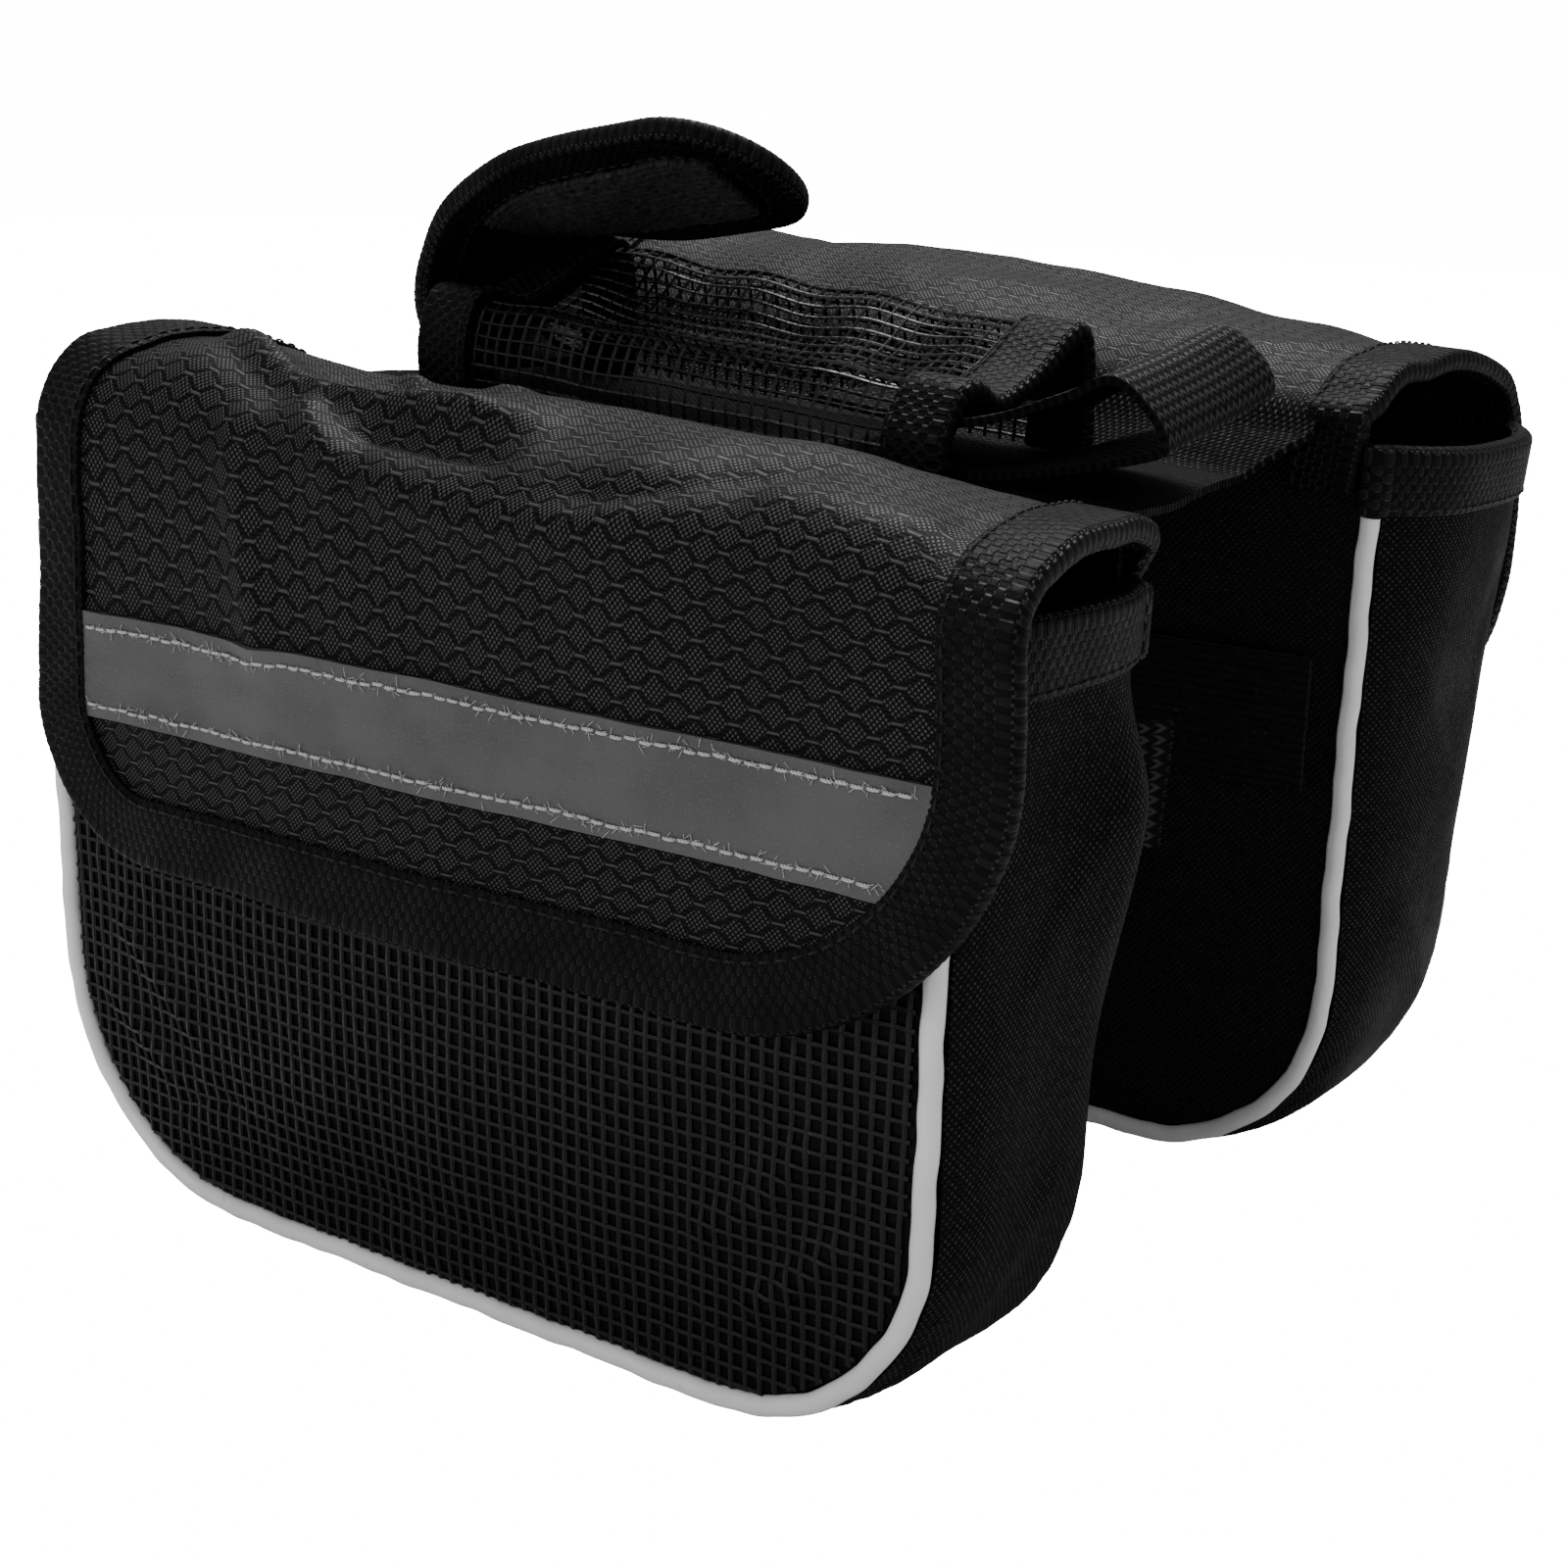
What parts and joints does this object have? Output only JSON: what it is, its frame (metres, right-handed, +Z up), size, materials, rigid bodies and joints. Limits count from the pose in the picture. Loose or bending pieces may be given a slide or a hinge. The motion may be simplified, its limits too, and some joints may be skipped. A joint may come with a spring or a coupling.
{
  "type": "bicycle frame bag",
  "caption": "Soft double pouch bag that hangs over a bicycle's top tube, with flap lids, a net phone pocket, a closure tongue and a webbing head strap.",
  "frame": {"origin": "bottom centre of the bag's bounding box", "axes": "+Z up; +X along the bicycle's top tube towards the head strap; +Y towards the pouch that carries the fastening band"},
  "size_m": [0.2176, 0.2218, 0.1971],
  "materials": {
    "plain_cloth": "plain woven black polyester",
    "net_cloth": "black cloth under a coated square net",
    "patterned_cloth": "black jacquard weave with a diamond pattern and a soft sheen",
    "tape": "coarse woven black binding tape",
    "piping": "smooth white piping",
    "reflective": "grey reflective strip with a satin sheen",
    "net": "black coated net",
    "hook_and_loop": "matt black hook and loop",
    "webbing": "black woven webbing"
  },
  "bodies": {
    "root": {"near_gusset": "plain_cloth", "near_back_panel": "plain_cloth", "near_front_panel": "net_cloth", "near_inner_piping": "piping", "near_outer_piping": "piping", "near_rim_binding": "tape", "near_flap": "patterned_cloth", "near_flap_binding": "tape", "near_reflective_strip": "reflective", "far_gusset": "plain_cloth", "far_back_panel": "plain_cloth", "far_front_panel": "net_cloth", "far_inner_piping": "piping", "far_outer_piping": "piping", "far_rim_binding": "tape", "far_flap": "patterned_cloth", "far_flap_binding": "tape", "far_reflective_strip": "reflective", "bridge_panel": "plain_cloth", "phone_pocket_net": "net", "pocket_rear_binding": "tape", "pocket_front_binding": "tape", "closure_tongue": "plain_cloth", "tongue_binding": "tape", "tongue_patch": "hook_and_loop", "head_strap": "webbing", "fastening_band": "hook_and_loop", "fastening_strap": "webbing"}
  },
  "joints": []
}
